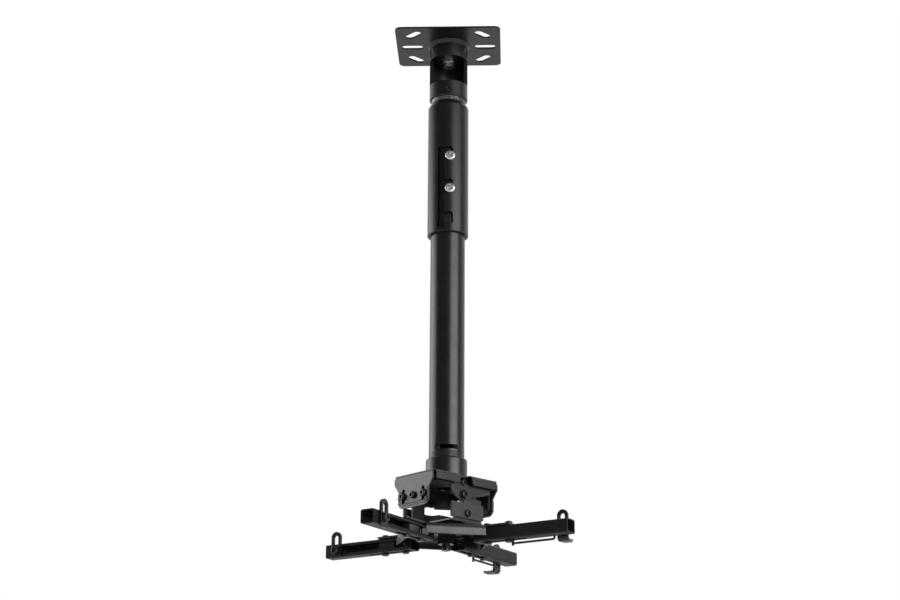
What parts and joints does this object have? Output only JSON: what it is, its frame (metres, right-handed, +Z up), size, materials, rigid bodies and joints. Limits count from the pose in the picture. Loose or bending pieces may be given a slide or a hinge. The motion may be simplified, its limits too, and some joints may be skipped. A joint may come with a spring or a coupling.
{
  "type": "projector ceiling mount",
  "caption": "Steel ceiling mount for a projector: slotted plate, telescoping drop column, roll and pitch head and a swivelling spider of sliding slotted arms with adjustable feet.",
  "frame": {"origin": "centre of the ceiling plate's top face, on the column's axis", "axes": "+Z up to the ceiling along the column, +X along the plate's long edge, +Y along its short edge, away from the sleeve's pockets"},
  "size_m": [0.3378, 0.3196, 0.745],
  "materials": {
    "powder_coat": "semi-gloss black powder coat",
    "sheet_coat": "smooth satin black coat on folded sheet",
    "arm_coat": "satin black powder coat",
    "latch_coat": "satin grey-black coat",
    "zinc": "bright zinc plate",
    "black_screw": "black oxide",
    "wire": "black lacquered wire"
  },
  "bodies": {
    "ceiling_fixing": {"ceiling_plate": "powder_coat", "coupling": "powder_coat", "coupling_bolt": "zinc", "coupling_washer": "zinc", "coupling_set_screw": "black_screw", "outer_sleeve": "powder_coat"},
    "drop_column": {"inner_column": "powder_coat", "column_screws": "zinc", "collar": "powder_coat", "collar_set_screw": "black_screw", "head_tray": "sheet_coat"},
    "roll_cradle": {"cradle": "sheet_coat", "roll_pivot_screws": "black_screw", "roll_lock_screws": "black_screw", "pitch_pivot_screws": "black_screw", "pitch_pivot_washers": "black_screw", "pitch_lock_screws": "black_screw", "pitch_nuts": "black_screw"},
    "tilt_head": {"tilt_bracket": "sheet_coat", "latch_plate": "latch_coat", "latch_screw": "black_screw", "swivel_spacer": "powder_coat", "swivel_bolt": "black_screw", "swivel_washer": "black_screw", "swivel_nut": "black_screw"},
    "spider_hub": {"hub": "sheet_coat", "arm_clamp_bolts": "black_screw", "arm_guide_bolts": "black_screw", "arm_blocks": "black_screw"},
    "far_left_arm": {"arm_far_left": "arm_coat", "foot_screw_far_left": "black_screw", "foot_washer_far_left": "black_screw", "foot_nut_far_left": "black_screw"},
    "near_left_arm": {"arm_near_left": "arm_coat", "foot_screw_near_left": "black_screw", "foot_washer_near_left": "black_screw", "foot_nut_near_left": "black_screw"},
    "near_right_arm": {"arm_near_right": "arm_coat", "foot_screw_near_right": "black_screw", "foot_washer_near_right": "black_screw", "foot_nut_near_right": "black_screw", "bail_near_right": "wire", "bail_stud_near_right": "black_screw"},
    "far_right_arm": {"arm_far_right": "arm_coat", "foot_screw_far_right": "black_screw", "foot_washer_far_right": "black_screw", "foot_nut_far_right": "black_screw", "bail_far_right": "wire", "bail_stud_far_right": "black_screw"},
    "far_left_foot": {"foot_far_left": "powder_coat"},
    "near_left_foot": {"foot_near_left": "powder_coat"},
    "near_right_foot": {"foot_near_right": "powder_coat"},
    "far_right_foot": {"foot_far_right": "powder_coat"}
  },
  "joints": [
    {"name": "column_lift", "type": "slide", "parent": "ceiling_fixing", "child": "drop_column", "axis": [0, 0, 1], "range_m": [0, 0.01]},
    {"name": "head_roll", "type": "hinge", "parent": "drop_column", "child": "roll_cradle", "pos_m": [0, 0, -0.67222], "axis": [0.7071, 0.7071, 0], "range_deg": [-7, 7]},
    {"name": "head_pitch", "type": "hinge", "parent": "roll_cradle", "child": "tilt_head", "pos_m": [0, 0, -0.66772], "axis": [-0.7071, 0.7071, 0], "range_deg": [-15, 15]},
    {"name": "spider_swivel", "type": "hinge", "parent": "tilt_head", "child": "spider_hub", "pos_m": [0, 0, -0.71232], "axis": [0, 0, 1], "continuous": true},
    {"name": "far_left_arm_slide", "type": "slide", "parent": "spider_hub", "child": "far_left_arm", "axis": [-0.866, 0.5, 0], "range_m": [-0.023, 0.007]},
    {"name": "near_left_arm_slide", "type": "slide", "parent": "spider_hub", "child": "near_left_arm", "axis": [-0.5, -0.866, 0], "range_m": [-0.02, 0.01]},
    {"name": "near_right_arm_slide", "type": "slide", "parent": "spider_hub", "child": "near_right_arm", "axis": [0.866, -0.5, 0], "range_m": [-0.023, 0.007]},
    {"name": "far_right_arm_slide", "type": "slide", "parent": "spider_hub", "child": "far_right_arm", "axis": [0.5, 0.866, 0], "range_m": [-0.005, 0.025]},
    {"name": "far_left_foot_height", "type": "slide", "parent": "far_left_arm", "child": "far_left_foot", "axis": [0, 0, 1], "range_m": [-0.0164, 0.001]},
    {"name": "near_left_foot_height", "type": "slide", "parent": "near_left_arm", "child": "near_left_foot", "axis": [0, 0, 1], "range_m": [-0.0148, 0.0026]},
    {"name": "near_right_foot_height", "type": "slide", "parent": "near_right_arm", "child": "near_right_foot", "axis": [0, 0, 1], "range_m": [-0.0167, 0.0007]},
    {"name": "far_right_foot_height", "type": "slide", "parent": "far_right_arm", "child": "far_right_foot", "axis": [0, 0, 1], "range_m": [-0.0115, 0.0059]}
  ]
}
